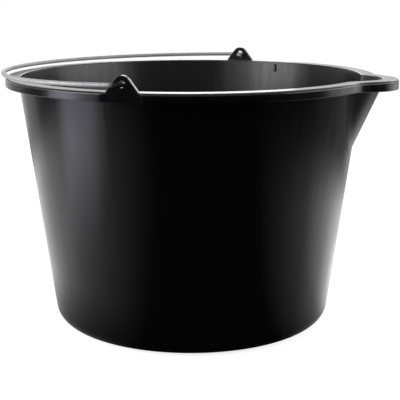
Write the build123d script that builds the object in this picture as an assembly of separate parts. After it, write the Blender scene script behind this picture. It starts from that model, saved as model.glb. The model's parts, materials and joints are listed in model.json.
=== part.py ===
from build123d import *
from math import acos, atan, atan2, cos, degrees, hypot, radians, sin, tan
import os

# A moulded pouring bucket and its wire bail, in millimetres and degrees.
# Origin on the floor at the bucket's axis, +Z up, +X towards the spout, the ears on the Y axis.

# Bucket wall and base
rim_height = 255.0            # floor to the top of the rim
rim_radius = 188.3            # outer edge of the rim
rim_overhang = 12.6           # rim edge beyond the outside of the wall
base_radius = 142.0           # outside of the wall where it would meet the floor
base_edge_radius = 17.0       # rounded edge between wall and base
wall = 2.5                    # wall thickness
base_thickness = 3.0          # floor of the bucket
foot_width = 9.0              # flat ring that the bucket stands on
foot_height = 2.0             # base raised inside that ring

# Rim: a flat flange that turns down into a skirt
flange_thickness = 2.5
flange_edge_radius = 2.5      # rounding where the flange turns down
mouth_edge_radius = 1.0       # rounding of the mouth's inner edge
skirt_height = 8.6            # top of the rim to the skirt's lower edge
skirt_thickness = 2.2

# Pouring spout
spout_projection = 23.3       # spout's nose beyond the wall, at the rim
spout_depth = 73.0            # rim to the point where the spout leaves the wall
spout_half_angle = 41.0       # each flank from the spout's centre line, seen from above
spout_nose_radius = 32.5      # outside of the nose
spout_blend_radius = 26.0     # hollow between the spout's flank and the wall
rim_blend_radius = 12.0       # the same hollow along the rim's outer edge

# Ears that carry the bail
ear_width = 31.0              # across the foot of the ear, at the rim
ear_top_radius = 8.4
ear_thickness = 5.0
ear_inset = 1.4               # ear's outer face inside the rim's edge
ear_pad_width = 39.0          # flat pad on the skirt below the ear
pivot_height = 6.4            # bail's pivot above the rim

# Nesting ribs on the inside, below the rim
rib_directions = (74.0, -74.0)  # from the spout, seen from above
rib_width = 3.0
rib_depth = 2.0
rib_height = 9.0
rib_drop = 2.0                # top of the rib below the top of the rim

# Bail
wire_diameter = 4.2
pin_reach = 6.0               # wire end past the inner face of the ear
pin_edge = 0.6                # bevel on the wire's cut ends
hole_clearance = 1.3          # radius of the ear hole beyond that of the wire
bail_clearance = 0.3          # wire to the ear's face, and to the bottom of the ear hole
bow_gap = 2.9                 # wire above the rim's edge, at the back of the bow

# Worked out from the sizes above
wire_radius = wire_diameter / 2
wall_top_radius = rim_radius - rim_overhang
lean = atan((wall_top_radius - base_radius) / rim_height)
spout_reach = wall_top_radius + spout_projection
keel_slope = (spout_projection + spout_depth * tan(lean)) / spout_depth
keel_tilt = atan(keel_slope)
plan_half_angle = radians(spout_half_angle)
keel_half_angle = atan(tan(plan_half_angle) / cos(keel_tilt))
ear_face = rim_radius - ear_inset
pivot_z = rim_height + pivot_height
hole_z = pivot_z + hole_clearance - bail_clearance
bow_radius = hypot(ear_face + bail_clearance + wire_radius, ear_width / 2)
bend_radius = (bow_radius**2 - ear_face**2) / (2 * bow_radius)


# Bucket body
def turned_form(floor, inset, edge_radius, top):
    # the bucket's round form, moved inwards from the outside of the wall
    def side(height):
        return base_radius + height * tan(lean) - inset / cos(lean)

    outline = Polyline((0, floor), (side(floor), floor), (side(top), top), (0, top), close=True)
    profile = make_face(Plane.XZ * outline)
    foot = profile.vertices().group_by(Axis.Z)[0].sort_by(Axis.X)[-1]
    return Rot(0, 0, 180) * revolve(fillet(foot, edge_radius), Axis.Z)


def spout_plan(nose_x, nose_radius, half_angle, root):
    # two flanks that meet in a rounded nose, from the nose back to the root
    tip = nose_x - nose_radius + nose_radius / sin(half_angle)
    spread = (tip - root) * tan(half_angle)
    flanks = make_face(Polyline((tip, 0), (root, spread), (root, -spread), close=True))
    return fillet(flanks.vertices().sort_by(Axis.X)[-1], nose_radius)


def spout_form(inset, top):
    # the spout as a prism along its keel, which runs down and inwards to the wall
    across_keel = Plane(
        origin=(spout_reach, 0, rim_height),
        x_dir=(cos(keel_tilt), 0, -sin(keel_tilt)),
        z_dir=(sin(keel_tilt), 0, cos(keel_tilt)),
    )
    root = -wall_top_radius * cos(plan_half_angle) ** 2
    section = spout_plan(-inset, spout_nose_radius - inset, keel_half_angle, root)
    keel_length = spout_depth / cos(keel_tilt)
    above_rim = extrude(across_keel * section, amount=keel_length)
    below_rim = extrude(across_keel * section, amount=-2 * keel_length)
    return split(above_rim + below_rim, Plane.XY.offset(top), keep=Keep.BOTTOM)


def bucket_form(floor, inset, top):
    # wall and spout as one solid, with the hollow between them filled
    joined = turned_form(floor, inset, base_edge_radius - inset, top) + spout_form(inset, top)
    seams = [
        edge
        for edge in joined.edges()
        if edge.geom_type not in (GeomType.LINE, GeomType.CIRCLE)
        and edge.bounding_box().size.Z > wall
    ]
    return fillet(seams, spout_blend_radius + inset)


def rim_form():
    # flange and skirt, which follow the wall and the spout at a constant distance
    nose = spout_plan(
        spout_reach + rim_overhang,
        spout_nose_radius + rim_overhang,
        plan_half_angle,
        spout_reach * sin(plan_half_angle) ** 2,
    )
    plan = Circle(rim_radius) + nose
    plan = fillet(plan.vertices().sort_by(Axis.X)[:2], rim_blend_radius)
    skirt_foot = Plane.XY.offset(rim_height - skirt_height)
    block = extrude(skirt_foot * plan, amount=skirt_height)
    block = fillet(block.faces().sort_by(Axis.Z)[-1].edges(), flange_edge_radius)
    hollow = skirt_foot * offset(plan, -skirt_thickness)
    return block - extrude(hollow, amount=skirt_height - flange_thickness)


def ear_plate():
    # the ear at the far side, with its foot in the rim and the pad on the skirt below it
    foot = Line((-ear_width / 2, 0), (ear_width / 2, 0))
    crown = Pos(0, pivot_height) * Circle(ear_top_radius)
    top_edge = (Align.CENTER, Align.MAX)
    outline = make_hull(crown.edges() + foot.edges())
    outline += Rectangle(ear_width, flange_edge_radius, align=top_edge)
    pad = Rectangle(ear_pad_width, skirt_height - flange_edge_radius, align=top_edge)
    outline += Pos(0, -flange_edge_radius) * pad
    face = Plane(origin=(0, ear_face, rim_height), x_dir=(1, 0, 0), z_dir=(0, -1, 0))
    return extrude(face * outline, amount=ear_thickness)


def nesting_rib(direction):
    # keeps stacked buckets from jamming
    def inside(height):
        return base_radius + height * tan(lean) - wall / cos(lean)

    top = rim_height - rib_drop
    shoulder = top - rib_depth
    low = top - rib_height
    outline = Polyline(
        (inside(top) + wall / 2, top),
        (inside(top), top),
        (inside(shoulder) - rib_depth, shoulder),
        (inside(low) - rib_depth, low),
        (inside(low) + wall / 2, low),
        close=True,
    )
    rib = extrude(make_face(Plane.XZ * outline), amount=rib_width / 2, both=True)
    return Rot(0, 0, direction) * rib


def base_recess():
    # hollow under the base, inside the flat ring of the foot
    foot_radius = base_radius + base_edge_radius * (tan(lean) - 1 / cos(lean))
    radius = foot_radius - foot_width
    return Cone(radius, radius - foot_height, foot_height, align=(Align.CENTER, Align.CENTER, Align.MIN))


def bucket_body():
    body = bucket_form(0, 0, rim_height) + rim_form()
    body -= bucket_form(foot_height + base_thickness, wall, rim_height + flange_thickness)
    mouth = body.faces().filter_by(Plane.XY).sort_by(Axis.Z)[-1].inner_wires()
    body = fillet(mouth.edges(), mouth_edge_radius)
    ear = ear_plate()
    pad_align = (Align.CENTER, Align.MIN, Align.CENTER)
    pad_cut = Box(ear_pad_width, rim_overhang, 2 * skirt_height, align=pad_align)
    pad_cut = Pos(0, ear_face, rim_height) * pad_cut
    bore = Cylinder(wire_radius + hole_clearance, 2 * rim_radius, rotation=(90, 0, 0))
    body += [ear, mirror(ear, Plane.XZ)]
    body -= [pad_cut, mirror(pad_cut, Plane.XZ), Pos(0, 0, hole_z) * bore]
    body += [nesting_rib(direction) for direction in rib_directions]
    return body - base_recess()


# Bail
def rest_tilt():
    # how far the bail leans down from level when it lies over the rim's rounded edge
    across = rim_radius - flange_edge_radius
    above = pivot_height + flange_edge_radius
    apart = flange_edge_radius + wire_radius + bow_gap
    reach = hypot(across, above)
    return atan2(above, across) - acos((bow_radius**2 + reach**2 - apart**2) / (2 * bow_radius * reach))


def bail_wire():
    # a round bow, with both ends bent inwards through the ears
    tilt = rest_tilt()
    pin_end = ear_face - ear_thickness - pin_reach
    bow_start = Vector(bend_radius, ear_face).normalized() * bow_radius
    pin = Line((0, pin_end), (0, ear_face))
    bend = TangentArc((0, ear_face), bow_start, tangent=(0, 1))
    half_bow = CenterArc((0, 0), bow_radius, 0, degrees(atan2(bow_start.Y, bow_start.X)))
    half = pin + bend + half_bow
    lying = Plane(
        origin=(0, 0, pivot_z),
        x_dir=(-cos(tilt), 0, -sin(tilt)),
        z_dir=(-sin(tilt), 0, cos(tilt)),
    )
    path = lying * Wire((half + mirror(half, Plane.XZ)).edges())
    section = Plane(origin=path @ 0, z_dir=path % 0) * Circle(wire_radius)
    wire = sweep(section, path)
    cut_ends = wire.faces().filter_by(GeomType.PLANE)
    return chamfer(cut_ends.edges(), pin_edge)


os.makedirs("parts", exist_ok=True)
for name, solid in (("bucket_body", bucket_body()), ("bail", bail_wire())):
    export_step(solid, f"parts/{name}.step")
    print(name, solid.is_valid, len(solid.solids()), round(solid.volume))

print("pivot height", pivot_z)
print("bail rest tilt, degrees", round(degrees(rest_tilt()), 3))
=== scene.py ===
import json
from math import acos, atan, atan2, cos, hypot, pi, radians, sin, sqrt, tan

import bmesh
import bpy
from mathutils import Matrix, Vector


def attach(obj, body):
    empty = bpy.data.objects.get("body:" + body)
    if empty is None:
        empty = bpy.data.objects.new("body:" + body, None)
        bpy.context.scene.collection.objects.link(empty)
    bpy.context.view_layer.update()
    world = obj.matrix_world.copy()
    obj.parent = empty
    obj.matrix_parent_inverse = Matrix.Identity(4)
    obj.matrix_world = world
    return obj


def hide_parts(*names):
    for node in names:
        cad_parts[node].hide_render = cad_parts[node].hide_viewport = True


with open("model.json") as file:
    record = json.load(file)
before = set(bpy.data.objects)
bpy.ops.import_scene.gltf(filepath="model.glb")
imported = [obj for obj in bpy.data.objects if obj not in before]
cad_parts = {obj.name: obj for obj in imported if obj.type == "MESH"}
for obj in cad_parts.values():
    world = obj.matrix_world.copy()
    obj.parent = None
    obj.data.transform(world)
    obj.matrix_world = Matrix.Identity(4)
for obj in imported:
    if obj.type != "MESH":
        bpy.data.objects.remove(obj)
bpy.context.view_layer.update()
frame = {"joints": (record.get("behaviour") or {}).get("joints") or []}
hinge = frame["joints"][0]
mm = 0.001  # pieces are modelled in millimetres and scaled to metres at the end
mergeWithin = 0.001  # vertices closer than this, in millimetres, become one
pivotHeight = hinge["pos_m"][2] / mm
print("frame loaded, bail pivot at", pivotHeight, "mm")


# shared helpers
def toLinear(hexColor):
    # sRGB hex to linear red, green, blue and alpha
    channels = [int(hexColor[i:i + 2], 16) / 255 for i in (1, 3, 5)]
    return [c / 12.92 if c <= 0.04045 else ((c + 0.055) / 1.055) ** 2.4 for c in channels] + [1.0]


def addNode(tree, kind, inputs, **settings):
    node = tree.nodes.new(kind)
    for name, value in settings.items():
        setattr(node, name, value)
    for socket, value in inputs.items():
        if isinstance(value, bpy.types.NodeSocket):
            tree.links.new(value, node.inputs[socket])
        else:
            node.inputs[socket].default_value = value
    return node


def startMaterial(name):
    material = bpy.data.materials.new(name)
    material.use_nodes = True
    material.node_tree.nodes.clear()
    return material, material.node_tree


def vertsOf(geom):
    return [item for item in geom if isinstance(item, bmesh.types.BMVert)]


def edgesOf(geom):
    return [item for item in geom if isinstance(item, bmesh.types.BMEdge)]


def roundEdges(bm, edges, radius, steps):
    bmesh.ops.bevel(bm, geom=edges, offset=radius, offset_type="OFFSET", segments=steps, profile=0.5,
                    affect="EDGES", material=-1)


def finishMesh(bm, name, sharpAngle):
    # doubles go first, then normals outwards, then edges sharper than sharpAngle stay crisp
    bmesh.ops.remove_doubles(bm, verts=bm.verts, dist=mergeWithin)
    bmesh.ops.recalc_face_normals(bm, faces=bm.faces)
    bmesh.ops.scale(bm, vec=(mm, mm, mm), verts=bm.verts)
    for face in bm.faces:
        face.smooth = True
    for edge in bm.edges:
        edge.smooth = edge.calc_face_angle(0) < sharpAngle
    mesh = bpy.data.meshes.new(name)
    bm.to_mesh(mesh)
    bm.free()
    piece = bpy.data.objects.new(name, mesh)
    bpy.context.scene.collection.objects.link(piece)
    return piece


# bucket body: one moulded shell, spun from its profile, with the spout pulled out afterwards
bucket = {
    "rimHeight": 255.0,
    "rimRadius": 188.3,
    "rimOverhang": 12.6,      # rim edge beyond the outside of the wall
    "baseRadius": 142.0,
    "baseEdge": 17.0,         # rounding between wall and base
    "wall": 2.5,
    "baseThickness": 3.0,
    "footWidth": 9.0,
    "footHeight": 2.0,
    "flangeThickness": 2.5,
    "flangeEdge": 2.5,        # rounding where the flange turns down
    "mouthEdge": 1.0,
    "skirtHeight": 8.6,
    "skirtThickness": 2.2,
    "smallEdge": 0.5,         # rounding of the foot, the skirt's lower edge and the corners under the flange
    "smallSteps": 3,          # faces across each rounding
    "baseSteps": 14,
    "flangeSteps": 8,
    "mouthSteps": 6,
    "innerSteps": 12,
    "lowRows": 10,            # rows of faces below the spout
    "spoutRows": 30,          # rows of faces beside the spout
    "firstColumn": -6.0,      # columns of faces start here, in degrees
    "columns": (              # end angle and step of each stretch, finest at the nose and the ears
        (6, 0.3), (24, 0.6), (82, 2.0), (98, 0.5), (262, 2.0), (278, 0.5), (336, 2.0), (354, 0.6),
    ),
    "seamMerge": 0.01,        # vertices closer than this are one, where the spin closes
    "sharp": radians(40),     # edges that turn more than this stay crisp
}
spout = {
    "projection": 23.3,       # nose beyond the wall, at the rim
    "depth": 73.0,
    "halfAngle": radians(41),
    "noseRadius": 32.5,
    "keelBlend": 1.2,         # softening where the keel runs into the wall
    "wallBlend": 5.5,         # where the flank meets the wall, at the rim
    "wallBlendAt": radians(12.8),  # direction of that meeting from the spout's middle
    "rimBlend": 6.0,          # softening where the nose's flange meets the round flange
    "rowsFrom": 20.0,         # fine rows start this far below the spout
    "rowMargin": 1.0,         # rows move from this far above the first fine row
    "wallMargin": 0.1,        # vertices further outside the wall than this belong to flange or skirt
    "reachAngle": radians(40),
    "skirtDrop": 1.2,         # skirt deeper round the nose
    "skirtMargin": 1.0,       # the skirt's foot stands off the wall by more than this
    "dropFull": radians(6),   # full depth up to here on each side, none past dropEnd
    "dropEnd": radians(18),
}
ear = {
    "width": 31.0,
    "topRadius": 8.4,
    "thickness": 5.0,
    "inset": 1.4,             # outer face inside the rim's edge
    "padWidth": 39.0,         # flat on the skirt below the ear
    "sunk": 2.0,              # foot inside the rim
    "holeRadius": 3.4,
    "holeRise": 1.0,          # hole's middle above the pivot, because the wire hangs in its hole
    "edge": 0.7,
    "edgeSteps": 3,
    "edgeAngle": radians(60),  # edges that turn more than this are rounded
    "crownSteps": 24,
    "holeSteps": 40,
}
rib = {
    "directions": (radians(74), radians(-74)),
    "width": 3.0,
    "depth": 2.0,
    "height": 9.0,
    "drop": 2.0,
    "edge": 0.8,
    "edgeSteps": 3,
    "wallMargin": 0.125,      # edges up to this far into the wall count as the rib's front
}

lean = atan((bucket["rimRadius"] - bucket["rimOverhang"] - bucket["baseRadius"]) / bucket["rimHeight"])
earFace = bucket["rimRadius"] - ear["inset"]
fineRowsFrom = bucket["rimHeight"] - spout["depth"] - spout["rowsFrom"]


def wallRadius(height):
    return bucket["baseRadius"] + height * tan(lean)


def innerRadius(height):
    return wallRadius(height) - bucket["wall"] / cos(lean)


def roundCorner(bm, corner, radius, steps):
    # vertex bevel of the open profile, set back so that the arc has this radius
    before, after = [edge.other_vert(corner).co - corner.co for edge in corner.link_edges]
    setBack = radius / tan(before.angle(after) / 2)
    bmesh.ops.bevel(bm, geom=[corner], offset=setBack, offset_type="OFFSET", segments=steps,
                    profile=0.5, affect="VERTICES", material=-1)


def drawProfile(bm):
    # from under the base, up the outside, over the rim and down the inside; each corner with its rounding
    rimTop = bucket["rimHeight"]
    under = rimTop - bucket["flangeThickness"]
    skirtFoot = rimTop - bucket["skirtHeight"]
    skirtInside = bucket["rimRadius"] - bucket["skirtThickness"]
    floor = bucket["footHeight"] + bucket["baseThickness"]
    footOutside = bucket["baseRadius"] + bucket["baseEdge"] * (tan(lean) - 1 / cos(lean))
    footInside = footOutside - bucket["footWidth"]
    innerEdge = bucket["baseEdge"] - bucket["wall"]
    small = bucket["smallEdge"]
    smallSteps = bucket["smallSteps"]
    outline = (
        (0, bucket["footHeight"], 0, 0),
        (footInside - bucket["footHeight"], bucket["footHeight"], small, smallSteps),
        (footInside, 0, small, smallSteps),
        (bucket["baseRadius"], 0, bucket["baseEdge"], bucket["baseSteps"]),
        (wallRadius(fineRowsFrom), fineRowsFrom, 0, 0),
        (wallRadius(under), under, small, smallSteps),
        (skirtInside, under, small, smallSteps),
        (skirtInside, skirtFoot, small, smallSteps),
        (bucket["rimRadius"], skirtFoot, small, smallSteps),
        (bucket["rimRadius"], rimTop, bucket["flangeEdge"], bucket["flangeSteps"]),
        (innerRadius(rimTop), rimTop, bucket["mouthEdge"], bucket["mouthSteps"]),
        (innerRadius(fineRowsFrom), fineRowsFrom, 0, 0),
        (innerRadius(floor), floor, innerEdge, bucket["innerSteps"]),
        (0, floor, 0, 0),
    )
    corners = [bm.verts.new((radius, 0, height)) for radius, height, rounding, steps in outline]
    for pair in zip(corners, corners[1:]):
        bm.edges.new(pair)
    for corner, (radius, height, rounding, steps) in zip(corners, outline):
        if rounding:
            roundCorner(bm, corner, rounding, steps)
    stretches = (("lowRows", 0, fineRowsFrom + small), ("spoutRows", fineRowsFrom - small, rimTop))
    for rows, low, high in stretches:
        tall = [edge for edge in bm.edges if all(low < vert.co.z < high for vert in edge.verts)
                and abs(edge.verts[0].co.z - edge.verts[1].co.z) > bucket["skirtHeight"]]
        bmesh.ops.subdivide_edges(bm, edges=tall, cuts=bucket[rows] - 1)


def spoutRadius(angle, height, beyond):
    # distance from the axis to the spout's outline at this angle and height, moved out by beyond
    keel = wallRadius(bucket["rimHeight"]) + spout["projection"]
    fall = (spout["projection"] + spout["depth"] * tan(lean)) / spout["depth"]
    centre = keel - fall * (bucket["rimHeight"] - height) - spout["noseRadius"]
    nose = spout["noseRadius"] + beyond
    half = spout["halfAngle"]
    flankStart = atan2(nose * cos(half), centre + nose * sin(half))
    if angle < flankStart:
        return centre * cos(angle) + sqrt(nose ** 2 - (centre * sin(angle)) ** 2)
    return (nose + centre * sin(half)) / sin(angle + half)


def deepenSkirt(bm):
    # the skirt's foot is lower round the nose, and eases back on both sides
    foot = bucket["rimHeight"] - bucket["skirtHeight"]
    footBand = 2 * bucket["smallEdge"]
    skirtFrom = wallRadius(foot) + spout["skirtMargin"]
    fade = spout["dropEnd"] - spout["dropFull"]
    for vert in bm.verts:
        if abs(vert.co.z - foot) < footBand and hypot(vert.co.x, vert.co.y) > skirtFrom:
            past = (abs(atan2(vert.co.y, vert.co.x)) - spout["dropFull"]) / fade
            past = min(max(past, 0), 1)
            vert.co.z -= spout["skirtDrop"] * (1 - past * past * (3 - 2 * past))


def pullSpout(bm):
    # wall, flange and skirt all move out to the spout's outline, softened where the two meet
    for vert in bm.verts:
        angle = abs(atan2(vert.co.y, vert.co.x))
        if vert.co.z < fineRowsFrom + spout["rowMargin"] or angle > spout["reachAngle"]:
            continue
        radius = hypot(vert.co.x, vert.co.y)
        height = vert.co.z
        share = min(angle / spout["wallBlendAt"], 1)
        blend = spout["keelBlend"] + share * (spout["wallBlend"] - spout["keelBlend"])
        if radius > wallRadius(height) + spout["wallMargin"]:
            height = bucket["rimHeight"]  # flange and skirt keep the rim's plan
            blend = spout["rimBlend"]
        nose = spoutRadius(angle, height, radius - wallRadius(height))
        near = max(1 - abs(radius - nose) / blend, 0)
        grown = max(radius, nose) + near ** 2 * blend / 4
        vert.co.x *= grown / radius
        vert.co.y *= grown / radius


def flattenPads(bm):
    # the skirt is flat below each ear
    for vert in bm.verts:
        if abs(vert.co.x) < ear["padWidth"] / 2 and abs(vert.co.y) > earFace:
            vert.co.y = earFace if vert.co.y > 0 else -earFace


def makeShell():
    bm = bmesh.new()
    drawProfile(bm)
    start = bucket["firstColumn"]
    bmesh.ops.rotate(bm, matrix=Matrix.Rotation(radians(start), 3, "Z"), verts=bm.verts)
    edge = bm.verts[:] + bm.edges[:]
    for end, step in bucket["columns"]:
        turned = bmesh.ops.spin(bm, geom=edge, cent=(0, 0, 0), axis=(0, 0, 1), angle=radians(end - start),
                                steps=round((end - start) / step), use_merge=False, use_duplicate=False)
        edge = turned["geom_last"]
        start = end
    bmesh.ops.remove_doubles(bm, verts=bm.verts, dist=bucket["seamMerge"])
    deepenSkirt(bm)
    pullSpout(bm)
    flattenPads(bm)
    return finishMesh(bm, "bucketShell", bucket["sharp"])


def makeEar():
    # crown arc and straight sides, filled and thickened
    bm = bmesh.new()
    rimTop = bucket["rimHeight"]
    half = ear["width"] / 2
    low = rimTop - ear["sunk"]
    crownRadius = ear["topRadius"]
    toFoot = Vector((half, rimTop - pivotHeight))
    sideAngle = atan2(toFoot.y, toFoot.x) + acos(crownRadius / toFoot.length)
    start = bm.verts.new((crownRadius * cos(sideAngle), 0, pivotHeight + crownRadius * sin(sideAngle)))
    crown = bmesh.ops.spin(bm, geom=[start], cent=(0, 0, pivotHeight), axis=(0, -1, 0),
                           angle=pi - 2 * sideAngle, steps=ear["crownSteps"],
                           use_merge=False, use_duplicate=False)
    last = vertsOf(crown["geom_last"])[0]
    corners = ((-half, rimTop), (-half, low), (half, low), (half, rimTop))
    feet = [bm.verts.new((x, 0, z)) for x, z in corners]
    for pair in zip([last] + feet, feet + [start]):
        bm.edges.new(pair)
    bmesh.ops.edgeloop_fill(bm, edges=bm.edges[:])
    plate = bmesh.ops.extrude_face_region(bm, geom=bm.faces[:])
    bmesh.ops.translate(bm, vec=(0, ear["thickness"], 0), verts=vertsOf(plate["geom"]))
    bmesh.ops.recalc_face_normals(bm, faces=bm.faces)
    rims = [edge for edge in bm.edges if edge.calc_face_angle(0) > ear["edgeAngle"]
            and min(vert.co.z for vert in edge.verts) > rimTop - ear["sunk"] / 2]
    roundEdges(bm, rims, ear["edge"], ear["edgeSteps"])
    bmesh.ops.translate(bm, vec=(0, -earFace, 0), verts=bm.verts)
    return bm


def makeEars():
    # the same ear on both sides of the mouth
    bm = makeEar()
    other = bmesh.ops.duplicate(bm, geom=bm.verts[:] + bm.edges[:] + bm.faces[:])
    bmesh.ops.rotate(bm, matrix=Matrix.Rotation(pi, 3, "Z"), verts=vertsOf(other["geom"]))
    return finishMesh(bm, "bailEars", bucket["sharp"])


def makeRibs():
    # small wedges inside the rim, on which a nested bucket stands
    bm = bmesh.new()
    top = bucket["rimHeight"] - rib["drop"]
    shoulder = top - rib["depth"]
    low = top - rib["height"]
    back = bucket["wall"] / 2
    outline = (
        (innerRadius(top) + back, top),
        (innerRadius(top), top),
        (innerRadius(shoulder) - rib["depth"], shoulder),
        (innerRadius(low) - rib["depth"], low),
        (innerRadius(low) + back, low),
    )
    side = [bm.verts.new((radius, -rib["width"] / 2, height)) for radius, height in outline]
    slab = bmesh.ops.extrude_face_region(bm, geom=[bm.faces.new(side)])
    bmesh.ops.translate(bm, vec=(0, rib["width"], 0), verts=vertsOf(slab["geom"]))
    bmesh.ops.recalc_face_normals(bm, faces=bm.faces)
    front = [edge for edge in bm.edges
             if all(vert.co.x < innerRadius(vert.co.z) + rib["wallMargin"] for vert in edge.verts)]
    roundEdges(bm, front, rib["edge"], rib["edgeSteps"])
    first = bm.verts[:] + bm.edges[:] + bm.faces[:]
    for direction in rib["directions"][1:]:
        other = bmesh.ops.duplicate(bm, geom=first)
        bmesh.ops.rotate(bm, matrix=Matrix.Rotation(direction, 3, "Z"), verts=vertsOf(other["geom"]))
    bmesh.ops.rotate(bm, matrix=Matrix.Rotation(rib["directions"][0], 3, "Z"), verts=vertsOf(first))
    return finishMesh(bm, "nestingRibs", bucket["sharp"])


def makeBore():
    # one drill through both ears
    bm = bmesh.new()
    across = Matrix.Translation((0, 0, pivotHeight + ear["holeRise"])) @ Matrix.Rotation(pi / 2, 4, "X")
    bmesh.ops.create_cone(bm, cap_ends=True, segments=ear["holeSteps"], radius1=ear["holeRadius"],
                          radius2=ear["holeRadius"], depth=2 * bucket["rimRadius"], matrix=across)
    return finishMesh(bm, "earHoles", bucket["sharp"])


def makeBody():
    # ears and ribs are moulded in one with the shell
    body = makeShell()
    for other, operation in ((makeEars(), "UNION"), (makeRibs(), "UNION"), (makeBore(), "DIFFERENCE")):
        step = body.modifiers.new(other.name, "BOOLEAN")
        step.operation = operation
        step.solver = "EXACT"
        step.object = other
    joined = bmesh.new()
    joined.from_object(body, bpy.context.evaluated_depsgraph_get())
    bmesh.ops.scale(joined, vec=(1 / mm, 1 / mm, 1 / mm), verts=joined.verts)
    for used in [body] + [step.object for step in body.modifiers]:
        bpy.data.objects.remove(used)
    body = finishMesh(joined, "bucketBody", bucket["sharp"])
    flats = body.modifiers.new("flatFacesStayFlat", "WEIGHTED_NORMAL")
    flats.keep_sharp = True
    return body


# bail: a round wire, laid along the rim, with both ends bent through the ears
bail = {
    "wire": 4.2,
    "clearance": 0.3,         # to the ear's face
    "bowGap": 2.9,            # wire above the rim's edge at the back
    "pinReach": 6.0,          # wire end past the ear
    "endEdge": 0.6,
    "endSteps": 3,
    "sides": 28,
    "bendSteps": 14,
    "bowSteps": 150,
    "sharp": radians(50),
}


def bailRestTilt(bowRadius):
    # the bow leans down from level until it lies over the rim's rounded edge
    edge = bucket["flangeEdge"]
    across = bucket["rimRadius"] - edge
    above = pivotHeight - bucket["rimHeight"] + edge
    apart = edge + bail["wire"] / 2 + bail["bowGap"]
    reach = hypot(across, above)
    return atan2(above, across) - acos((bowRadius ** 2 + reach ** 2 - apart ** 2) / (2 * bowRadius * reach))


def makeBail():
    bm = bmesh.new()
    radius = bail["wire"] / 2
    bowRadius = hypot(earFace + bail["clearance"] + radius, ear["width"] / 2)
    bend = (bowRadius ** 2 - earFace ** 2) / (2 * bowRadius)
    bowHalf = atan2(earFace, bend)
    pinEnd = earFace - ear["thickness"] - bail["pinReach"]
    across = Matrix.Translation((0, pinEnd, 0)) @ Matrix.Rotation(pi / 2, 4, "X")
    ring = bmesh.ops.create_circle(bm, segments=bail["sides"], radius=radius, cap_ends=False, matrix=across)
    end = ring["verts"] + bm.edges[:]

    def slide(loop, length):
        grown = bmesh.ops.extrude_edge_only(bm, edges=edgesOf(loop))["geom"]
        verts = vertsOf(grown)
        bmesh.ops.translate(bm, vec=(0, length, 0), verts=verts)
        return verts + [edge for edge in edgesOf(grown) if all(vert in verts for vert in edge.verts)]

    def turn(loop, centre, angle, steps):
        return bmesh.ops.spin(bm, geom=loop, cent=centre, axis=(0, 0, 1), angle=angle, steps=steps,
                              use_merge=False, use_duplicate=False)["geom_last"]

    bendTurn = bowHalf - pi
    loop = slide(end, earFace - pinEnd)
    loop = turn(loop, (bend, earFace, 0), bendTurn, bail["bendSteps"])
    loop = turn(loop, (0, 0, 0), -2 * bowHalf, bail["bowSteps"])
    loop = turn(loop, (bend, -earFace, 0), bendTurn, bail["bendSteps"])
    slide(loop, earFace - pinEnd)
    openEnds = [edge for edge in bm.edges if edge.is_boundary]
    caps = bmesh.ops.edgeloop_fill(bm, edges=openEnds)["faces"]
    bmesh.ops.recalc_face_normals(bm, faces=bm.faces)
    cut = [edge for cap in caps for edge in cap.edges]
    roundEdges(bm, cut, bail["endEdge"], bail["endSteps"])
    tilt = Matrix.Rotation(bailRestTilt(bowRadius), 4, "Y")
    lying = Matrix.Translation((0, 0, pivotHeight)) @ Matrix.Rotation(pi, 4, "Z") @ tilt
    bmesh.ops.transform(bm, matrix=lying, verts=bm.verts)
    return finishMesh(bm, "bailWire", bail["sharp"])


# materials; pattern sizes in millimetres
polypropylene = {
    "color": "#050506",
    "scuffed": "#1d1d1f",
    "ior": 1.49,
    "rough": (0.12, 0.25),
    "roughOver": (0.6, 1.4),  # clouds and streaks added, from the least roughness to the most
    "insideRough": 0.10,      # the core's side is less polished than the outside
    "insideOver": (-0.3, 0.0),    # cosines to the way out of the bucket, from the inside to the outside
    "cloud": 55.0,            # flow clouds in the sheen
    "cloudDetail": 3.0,
    "streak": 7.0,            # upright streaks from drawing the bucket off its core
    "streakLength": 150.0,
    "streakDetail": 2.0,
    "wave": 28.0,             # slight unevenness of the cooled wall, drawn out upright as the streaks are
    "waveDetail": 1.0,
    "waveDepth": 0.45,
    "grain": 1.2,             # moulded grain, drawn coarser than the real 0.2 mm so that it shows
    "grainDetail": 2.0,
    "grainDepth": 0.2,
    "grainStrength": 0.06,
    "scuff": 5.0,
    "scuffDetail": 6.0,
    "scuffFineness": 0.7,     # how much the finer marks count
    "scuffOver": (0.5, 0.7),  # noise from which a mark starts, and from which it is full
    "scuffRough": 0.2,
    "baseScuffs": 20.0,       # height of the scuffed band above the floor
    "rimScuffs": (253.8, 1.0),    # height of the scuffed rim edge, and half its width
    "rimScuffsFrom": 187.6,   # only outside this radius
}
zinc = {
    "bright": "#c2c2c3",
    "dull": "#9c9c9e",
    # painted shade: the colour of the wire's bends outside the ears, for the dark room that they mirror
    "paintedBendShade": "#2b2b2c",
    "rough": (0.64, 0.76),
    "crystal": 2.5,           # spangle, drawn finer than on sheet because the wire is thin
    "patch": 14.0,
    "drawn": 0.7,             # lines along the wire, drawn coarser than the real ones so that they show
    "drawnDetail": 2.0,
    "drawnDepth": 0.05,
    "drawnStrength": 0.5,
    "paintedBendShadeTo": (5.0, 13.0),   # from the pivot, along the bends outside the ears: full painted shade, and none
    "brightPin": 184.0,       # inside the ears the pins get none of the painted shade
}


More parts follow.
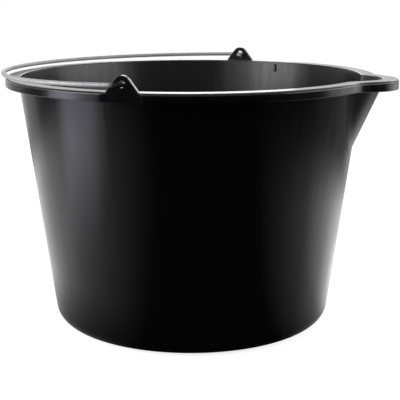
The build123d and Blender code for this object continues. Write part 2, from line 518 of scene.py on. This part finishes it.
def blackPolypropylene():
    # injection-moulded polypropylene with carbon black: deep black satin skin that mirrors the room,
    # clouded and streaked by the mould, finely grained, greyer and duller where floor and hands scuff it
    material, tree = startMaterial("mouldedBlackPolypropylene")
    look = polypropylene
    coordinates = addNode(tree, "ShaderNodeTexCoord", {})
    place = coordinates.outputs["Object"]

    # sheen, duller inside
    cloud = addNode(tree, "ShaderNodeTexNoise", {
        "Vector": place, "Scale": 1 / (look["cloud"] * mm), "Detail": look["cloudDetail"]})
    upright = addNode(tree, "ShaderNodeMapping", {
        "Vector": place, "Scale": (1.0, 1.0, look["streak"] / look["streakLength"])})
    streak = addNode(tree, "ShaderNodeTexNoise", {
        "Vector": upright.outputs[0], "Scale": 1 / (look["streak"] * mm), "Detail": look["streakDetail"]})
    sheen = addNode(tree, "ShaderNodeMath", {
        0: cloud.outputs["Fac"], 1: streak.outputs["Fac"]}, operation="ADD")
    rough = addNode(tree, "ShaderNodeMapRange", {
        "Value": sheen.outputs[0], "From Min": look["roughOver"][0], "From Max": look["roughOver"][1],
        "To Min": look["rough"][0], "To Max": look["rough"][1]})
    middle = (0, 0, bucket["rimHeight"] * mm / 2)
    outwards = addNode(tree, "ShaderNodeVectorMath", {0: place, 1: middle}, operation="SUBTRACT")
    outwards = addNode(tree, "ShaderNodeVectorMath", {0: outwards.outputs[0]}, operation="NORMALIZE")
    facing = addNode(tree, "ShaderNodeVectorMath", {
        0: outwards.outputs[0], 1: coordinates.outputs["Normal"]}, operation="DOT_PRODUCT")
    inside = addNode(tree, "ShaderNodeMapRange", {
        "Value": facing.outputs["Value"],
        "From Min": look["insideOver"][0], "From Max": look["insideOver"][1],
        "To Min": look["insideRough"], "To Max": 0.0})
    skin = addNode(tree, "ShaderNodeMath", {0: rough.outputs[0], 1: inside.outputs[0]}, operation="ADD")

    # scuffs at the foot and along the rim's edge
    height = addNode(tree, "ShaderNodeSeparateXYZ", {0: place}).outputs["Z"]
    nearFloor = addNode(tree, "ShaderNodeMapRange", {
        "Value": height, "From Max": look["baseScuffs"] * mm, "To Min": 1.0, "To Max": 0.0})
    atRim = addNode(tree, "ShaderNodeMath", {
        0: height, 1: look["rimScuffs"][0] * mm, 2: look["rimScuffs"][1] * mm}, operation="COMPARE")
    level = addNode(tree, "ShaderNodeMapping", {"Vector": place, "Scale": (1.0, 1.0, 0.0)})
    across = addNode(tree, "ShaderNodeVectorMath", {0: level.outputs[0]}, operation="LENGTH")
    outside = addNode(tree, "ShaderNodeMath", {
        0: across.outputs["Value"], 1: look["rimScuffsFrom"] * mm}, operation="GREATER_THAN")
    rimEdge = addNode(tree, "ShaderNodeMath", {
        0: atRim.outputs[0], 1: outside.outputs[0]}, operation="MULTIPLY")
    edges = addNode(tree, "ShaderNodeMath", {
        0: nearFloor.outputs[0], 1: rimEdge.outputs[0]}, operation="MAXIMUM")
    marks = addNode(tree, "ShaderNodeTexNoise", {
        "Vector": place, "Scale": 1 / (look["scuff"] * mm), "Detail": look["scuffDetail"],
        "Roughness": look["scuffFineness"]})
    worn = addNode(tree, "ShaderNodeMapRange", {
        "Value": marks.outputs["Fac"], "From Min": look["scuffOver"][0], "From Max": look["scuffOver"][1]})
    scuff = addNode(tree, "ShaderNodeMath", {
        0: edges.outputs[0], 1: worn.outputs[0]}, operation="MULTIPLY").outputs[0]
    tone = addNode(tree, "ShaderNodeMix", {
        "Factor": scuff, "A": toLinear(look["color"]), "B": toLinear(look["scuffed"])}, data_type="RGBA")
    dulled = addNode(tree, "ShaderNodeMath", {
        0: scuff, 1: look["scuffRough"], 2: skin.outputs[0]}, operation="MULTIPLY_ADD")

    # relief
    wave = addNode(tree, "ShaderNodeTexNoise", {
        "Vector": upright.outputs[0], "Scale": 1 / (look["wave"] * mm), "Detail": look["waveDetail"]})
    uneven = addNode(tree, "ShaderNodeBump", {
        "Height": wave.outputs["Fac"], "Strength": 1.0, "Distance": look["waveDepth"] * mm})
    grain = addNode(tree, "ShaderNodeTexNoise", {
        "Vector": place, "Scale": 1 / (look["grain"] * mm), "Detail": look["grainDetail"]})
    bump = addNode(tree, "ShaderNodeBump", {
        "Height": grain.outputs["Fac"], "Strength": look["grainStrength"],
        "Distance": look["grainDepth"] * mm, "Normal": uneven.outputs[0]})
    shader = addNode(tree, "ShaderNodeBsdfPrincipled", {
        "Base Color": tone.outputs["Result"], "Roughness": dulled.outputs[0], "IOR": look["ior"],
        "Normal": bump.outputs[0]})
    addNode(tree, "ShaderNodeOutputMaterial", {"Surface": shader.outputs[0]})
    return material


def galvanisedWire():
    # hot-dip galvanised steel wire: dull bright zinc, mottled by its crystals, with lines from drawing
    # along it, and painted shade on its bends outside the ears, for the dark room that they mirror
    material, tree = startMaterial("galvanisedSteelWire")
    look = zinc
    place = addNode(tree, "ShaderNodeTexCoord", {}).outputs["Object"]
    parted = addNode(tree, "ShaderNodeSeparateXYZ", {0: place})

    # mottled zinc
    spangle = addNode(tree, "ShaderNodeTexVoronoi", {"Vector": place, "Scale": 1 / (look["crystal"] * mm)})
    patch = addNode(tree, "ShaderNodeTexNoise", {"Vector": place, "Scale": 1 / (look["patch"] * mm)})
    mottle = addNode(tree, "ShaderNodeMath", {
        0: spangle.outputs["Distance"], 1: patch.outputs["Fac"]}, operation="MULTIPLY")
    tone = addNode(tree, "ShaderNodeMix", {
        "Factor": mottle.outputs[0], "A": toLinear(look["bright"]), "B": toLinear(look["dull"])},
        data_type="RGBA")
    rough = addNode(tree, "ShaderNodeMapRange", {
        "Value": mottle.outputs[0], "To Min": look["rough"][0], "To Max": look["rough"][1]})

    # painted shade on the bends outside the ears, for the dark room that they mirror
    fromPivot = addNode(tree, "ShaderNodeMath", {0: parted.outputs["X"]}, operation="ABSOLUTE")
    bendShade = addNode(tree, "ShaderNodeMapRange", {
        "Value": fromPivot.outputs[0], "From Min": look["paintedBendShadeTo"][0] * mm,
        "From Max": look["paintedBendShadeTo"][1] * mm, "To Min": 1.0, "To Max": 0.0},
        interpolation_type="SMOOTHSTEP")
    fromMiddle = addNode(tree, "ShaderNodeMath", {0: parted.outputs["Y"]}, operation="ABSOLUTE")
    bent = addNode(tree, "ShaderNodeMath", {
        0: fromMiddle.outputs[0], 1: look["brightPin"] * mm}, operation="GREATER_THAN")
    bendShade = addNode(tree, "ShaderNodeMath", {0: bendShade.outputs[0], 1: bent.outputs[0]}, operation="MULTIPLY")
    tone = addNode(tree, "ShaderNodeMix", {
        "Factor": bendShade.outputs[0], "A": tone.outputs["Result"], "B": toLinear(look["paintedBendShade"])},
        data_type="RGBA")

    # drawing lines
    level = addNode(tree, "ShaderNodeMapping", {"Vector": place, "Scale": (1.0, 1.0, 0.0)})
    across = addNode(tree, "ShaderNodeVectorMath", {0: level.outputs[0]}, operation="LENGTH")
    alongBow = addNode(tree, "ShaderNodeCombineXYZ", {"X": across.outputs["Value"], "Z": parted.outputs["Z"]})
    drawn = addNode(tree, "ShaderNodeTexNoise", {
        "Vector": alongBow.outputs[0], "Scale": 1 / (look["drawn"] * mm), "Detail": look["drawnDetail"]})
    bump = addNode(tree, "ShaderNodeBump", {
        "Height": drawn.outputs["Fac"], "Strength": look["drawnStrength"],
        "Distance": look["drawnDepth"] * mm})
    shader = addNode(tree, "ShaderNodeBsdfPrincipled", {
        "Base Color": tone.outputs["Result"], "Metallic": 1.0, "Roughness": rough.outputs[0],
        "Normal": bump.outputs[0]})
    addNode(tree, "ShaderNodeOutputMaterial", {"Surface": shader.outputs[0]})
    return material


# pieces onto the frame
for make, body, node, slotName, makeMaterial in (
    (makeBody, "bucket", "bucket_body", "black_polypropylene", blackPolypropylene),
    (makeBail, "bail", "bail", "galvanised_wire", galvanisedWire),
):
    piece = make()
    piece.data.materials.append(makeMaterial())
    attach(piece, body)
    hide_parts(node)
    print("made", piece.name, "with", len(piece.data.polygons), "faces")


# camera, from the outline in the photograph, as a 400 by 400 image
view = {
    "place": (0.3333, -0.9859, 0.3509),
    "turn": 0.3260,           # radians about the bucket's axis
    "down": 0.2169,
    "roll": -0.0035,
    "sensor": 36.0,
    "lens": 90.70,
    "shift": 0.0215,
}
cameraData = bpy.data.cameras.new("photoCamera")
cameraData.sensor_width = view["sensor"]
cameraData.lens = view["lens"]
cameraData.shift_x = view["shift"]
camera = bpy.data.objects.new("photoCamera", cameraData)
bpy.context.scene.collection.objects.link(camera)
ahead = cos(view["down"])
sight = Vector((-ahead * sin(view["turn"]), ahead * cos(view["turn"]), -sin(view["down"])))
roll = Matrix.Rotation(view["roll"], 3, "Z").to_quaternion()
camera.rotation_mode = "QUATERNION"
camera.rotation_quaternion = sight.to_track_quat("-Z", "Y") @ roll
camera.location = view["place"]
bpy.context.scene.camera = camera
bpy.context.scene.view_settings.view_transform = "Standard"
print("camera set,", view["lens"], "mm lens")


def roundTheStand(degreesRight, distance, height):
    # a place in the studio, by its angle to the right of the camera as seen from the bucket
    around = radians(degreesRight) + view["turn"]
    return Vector((distance * sin(around), -distance * cos(around), height))


# studio: a white floor and surround, shaded towards the camera, and soft boxes at the sides and behind
studio = {
    "floorSize": 40.0,
    "paperColor": "#c8c8c8",
    "floorGlow": 0.8,         # keeps the floor white for the camera, with the shadow left in
    "shadeMiddle": 9.0,       # degrees right of the camera, middle of the shaded floor in front
    "shadeFrom": -0.25,       # cosines from that middle, from the brightest paper to the darkest
    "shadeFull": 0.86,
    "paperBright": 1.15,
    "paperDark": 0.012,
    "litMiddle": (-90.0, 0.12),  # middle of the lit paper, as degrees right of the camera and metres
    "litFull": 0.54,
    "litEnd": 0.9,
    "litRest": 0.13,          # level of the paper past litEnd
    "sideMiddle": 108.0,      # painted light on the mirrored paper at the right, with cosines from its middle
    "sideEdge": 0.84,
    "sideLevel": 0.38,
    "footMiddle": (-90.0, 0.04),  # middle of the bucket's own shadow, painted on the mirrored paper
    "footNear": 0.11,
    "footFar": 0.22,
    "footLevel": 0.42,
    "surroundColor": "#ffffff",
    "roomFront": 0.05,        # surround as mirrored, from the camera's side to the back
    "roomBack": 1.0,
    "backMiddle": 180.0,
    "turnFrom": -0.2,         # cosines over which it changes
    "turnTo": 0.8,
    "topShare": 0.45,         # the top counts as this much of the back
    "ambient": 0.35,
}

# painted reflections of pale sheets round the stand, glowing in the floor only as the bucket mirrors them:
# degrees right of the camera, cosines from the middle, and metres over which they start
paintedCards = {
    "leftCard": {
        "right": -73, "edge": 0.94, "full": 0.9945, "near": 0.28, "far": 0.8,
        "level": 1.85, "color": "#ebe8fb",
    },
    "leftFar": {
        "right": -78, "edge": 0.97, "full": 0.996, "near": 1.4, "far": 2.2,
        "level": 2.7, "color": "#ebe8fb",
    },
    "rightCard": {
        "right": 108, "edge": 0.883, "full": 0.985, "near": 1.3, "far": 1.9,
        "level": 1.5, "color": "#ffffff",
    },
    "backLeft": {
        "right": -135, "edge": 0.914, "full": 0.978, "near": 0.6, "far": 0.8,
        "level": 0.35, "color": "#ffffff",
    },
    "backRight": {
        "right": 147, "edge": 0.927, "full": 0.985, "near": 0.6, "far": 0.8,
        "level": 0.4, "color": "#ffffff",
    },
    "backCard": {
        "right": 180, "edge": 0.71, "full": 0.966, "near": 1.0, "far": 1.3,
        "level": 0.5, "color": "#ffffff",
    },
}


def whiteFloor():
    # matt white paper; what the bucket mirrors of it is a painted glow, with painted shade towards the camera
    # and away from the stand
    material, tree = startMaterial("whitePaper")
    path = addNode(tree, "ShaderNodeLightPath", {})
    place = addNode(tree, "ShaderNodeTexCoord", {}).outputs["Object"]
    heading = addNode(tree, "ShaderNodeVectorMath", {0: place}, operation="NORMALIZE").outputs[0]
    distance = addNode(tree, "ShaderNodeVectorMath", {0: place}, operation="LENGTH").outputs["Value"]

    # the paper as mirrored: a painted glow with painted light, shade and shadow, seen only in reflections
    front = addNode(tree, "ShaderNodeVectorMath", {
        0: heading, 1: roundTheStand(studio["shadeMiddle"], 1, 0)}, operation="DOT_PRODUCT")
    shade = addNode(tree, "ShaderNodeMapRange", {
        "Value": front.outputs["Value"], "From Min": studio["shadeFrom"], "From Max": studio["shadeFull"],
        "To Min": studio["paperBright"], "To Max": studio["paperDark"]})
    aside = addNode(tree, "ShaderNodeVectorMath", {
        0: heading, 1: roundTheStand(studio["sideMiddle"], 1, 0)}, operation="DOT_PRODUCT")
    side = addNode(tree, "ShaderNodeMapRange", {
        "Value": aside.outputs["Value"], "From Min": studio["sideEdge"], "To Max": studio["sideLevel"]},
        interpolation_type="SMOOTHSTEP")
    sides = addNode(tree, "ShaderNodeMath", {0: shade.outputs[0], 1: side.outputs[0]}, operation="ADD")
    away = addNode(tree, "ShaderNodeVectorMath", {
        0: place, 1: roundTheStand(*studio["litMiddle"], 0)}, operation="DISTANCE")
    lit = addNode(tree, "ShaderNodeMapRange", {
        "Value": away.outputs["Value"], "From Min": studio["litFull"], "From Max": studio["litEnd"],
        "To Min": 1.0, "To Max": studio["litRest"]}, interpolation_type="SMOOTHSTEP")
    openPaper = addNode(tree, "ShaderNodeMath", {
        0: sides.outputs[0], 1: lit.outputs[0]}, operation="MULTIPLY")
    fromShadow = addNode(tree, "ShaderNodeVectorMath", {
        0: place, 1: roundTheStand(*studio["footMiddle"], 0)}, operation="DISTANCE")
    shadow = addNode(tree, "ShaderNodeMapRange", {
        "Value": fromShadow.outputs["Value"], "From Min": studio["footNear"], "From Max": studio["footFar"],
        "To Min": studio["footLevel"]}, interpolation_type="SMOOTHSTEP")
    paper = addNode(tree, "ShaderNodeMath", {
        0: openPaper.outputs[0], 1: shadow.outputs[0]}, operation="MULTIPLY")
    mirror = addNode(tree, "ShaderNodeEmission", {"Strength": paper.outputs[0]})
    # each adds a painted reflection to the mirrored paper
    for paintedCard in paintedCards.values():
        towards = addNode(tree, "ShaderNodeVectorMath", {
            0: heading, 1: roundTheStand(paintedCard["right"], 1, 0)}, operation="DOT_PRODUCT")
        level = addNode(tree, "ShaderNodeMapRange", {
            "Value": towards.outputs["Value"], "From Min": paintedCard["edge"], "From Max": paintedCard["full"],
            "To Max": paintedCard["level"]}, interpolation_type="SMOOTHSTEP")
        start = addNode(tree, "ShaderNodeMapRange", {
            "Value": distance, "From Min": paintedCard["near"], "From Max": paintedCard["far"]},
            interpolation_type="SMOOTHSTEP")
        strength = addNode(tree, "ShaderNodeMath", {
            0: level.outputs[0], 1: start.outputs[0]}, operation="MULTIPLY")
        shine = addNode(tree, "ShaderNodeEmission", {
            "Color": toLinear(paintedCard["color"]), "Strength": strength.outputs[0]})
        mirror = addNode(tree, "ShaderNodeAddShader", {0: mirror.outputs[0], 1: shine.outputs[0]})

    # the paper as the camera sees it
    seen = addNode(tree, "ShaderNodeMath", {
        0: path.outputs["Is Camera Ray"], 1: path.outputs["Is Transmission Ray"]}, operation="MAXIMUM")
    glowLevel = addNode(tree, "ShaderNodeMath", {
        0: seen.outputs[0], 1: studio["floorGlow"]}, operation="MULTIPLY")
    matt = addNode(tree, "ShaderNodeBsdfDiffuse", {"Color": toLinear(studio["paperColor"])})
    glow = addNode(tree, "ShaderNodeEmission", {"Strength": glowLevel.outputs[0]})
    white = addNode(tree, "ShaderNodeAddShader", {0: matt.outputs[0], 1: glow.outputs[0]})
    both = addNode(tree, "ShaderNodeMixShader", {
        0: path.outputs["Is Glossy Ray"], 1: white.outputs[0], 2: mirror.outputs[0]})
    addNode(tree, "ShaderNodeOutputMaterial", {"Surface": both.outputs[0]})
    return material


def makeFloor():
    bm = bmesh.new()
    bmesh.ops.create_grid(bm, x_segments=1, y_segments=1, size=studio["floorSize"] / 2)
    mesh = bpy.data.meshes.new("studioFloor")
    bm.to_mesh(mesh)
    bm.free()
    mesh.materials.append(whiteFloor())
    floor = bpy.data.objects.new("studioFloor", mesh)
    bpy.context.scene.collection.objects.link(floor)
    print("floor laid, with", len(paintedCards), "paintedCards")


def makeSurround():
    # white for the camera, and mirrored as a bright back and top with a dim room in front
    world = bpy.data.worlds.new("whiteStudio")
    bpy.context.scene.world = world
    world.use_nodes = True
    tree = world.node_tree
    tree.nodes.clear()
    path = addNode(tree, "ShaderNodeLightPath", {})
    heading = addNode(tree, "ShaderNodeTexCoord", {}).outputs["Generated"]
    back = addNode(tree, "ShaderNodeVectorMath", {
        0: heading, 1: roundTheStand(studio["backMiddle"], 1, 0)}, operation="DOT_PRODUCT")
    top = addNode(tree, "ShaderNodeVectorMath", {
        0: heading, 1: (0, 0, studio["topShare"])}, operation="DOT_PRODUCT")
    nearest = addNode(tree, "ShaderNodeMath", {
        0: back.outputs["Value"], 1: top.outputs["Value"]}, operation="MAXIMUM")
    room = addNode(tree, "ShaderNodeMapRange", {
        "Value": nearest.outputs[0], "From Min": studio["turnFrom"], "From Max": studio["turnTo"],
        "To Min": studio["roomFront"], "To Max": studio["roomBack"]}, interpolation_type="SMOOTHSTEP")
    seen = addNode(tree, "ShaderNodeMath", {
        0: path.outputs["Is Camera Ray"], 1: path.outputs["Is Transmission Ray"]}, operation="MAXIMUM")
    plain = addNode(tree, "ShaderNodeMapRange", {
        "Value": seen.outputs[0], "To Min": studio["ambient"], "To Max": 1.0})
    level = addNode(tree, "ShaderNodeMix", {
        "Factor": path.outputs["Is Glossy Ray"], "A": plain.outputs[0], "B": room.outputs[0]})
    sky = addNode(tree, "ShaderNodeBackground", {
        "Color": toLinear(studio["surroundColor"]), "Strength": level.outputs[0]})
    addNode(tree, "ShaderNodeOutputWorld", {"Surface": sky.outputs[0]})


# white soft boxes: place by degrees right of the camera, size in metres, level 1 is paper white
softBoxes = {
    "backBox": {"right": 179, "distance": 1.9, "height": 0.95, "size": (0.55, 1.0), "level": 2.2},
    "leftBox": {"right": -68, "distance": 1.1, "height": 0.54, "size": (0.72, 0.5), "level": 4.3},
    "leftSheet": {"right": -64, "distance": 1.25, "height": 0.6, "size": (1.85, 0.6), "level": 1.1},
    "rightBox": {"right": 84, "distance": 1.1, "height": 0.5, "size": (1.3, 0.45), "level": 2.9},
    "kickBox": {"right": 151, "distance": 1.7, "height": 0.9, "size": (0.4, 0.4), "level": 3.0},
}


def lightStudio():
    for name, box in softBoxes.items():
        lamp = bpy.data.lights.new(name, "AREA")
        lamp.shape = "RECTANGLE"
        lamp.size, lamp.size_y = box["size"]
        lamp.energy = box["level"] * pi * lamp.size * lamp.size_y
        holder = bpy.data.objects.new(name, lamp)
        holder.location = roundTheStand(box["right"], box["distance"], box["height"])
        aim = Vector((0, 0, bucket["rimHeight"] * mm / 2)) - holder.location
        holder.rotation_euler = aim.to_track_quat("-Z", "Y").to_euler()
        bpy.context.scene.collection.objects.link(holder)
    print("studio lit by", len(softBoxes), "soft boxes")


makeFloor()
makeSurround()
lightStudio()
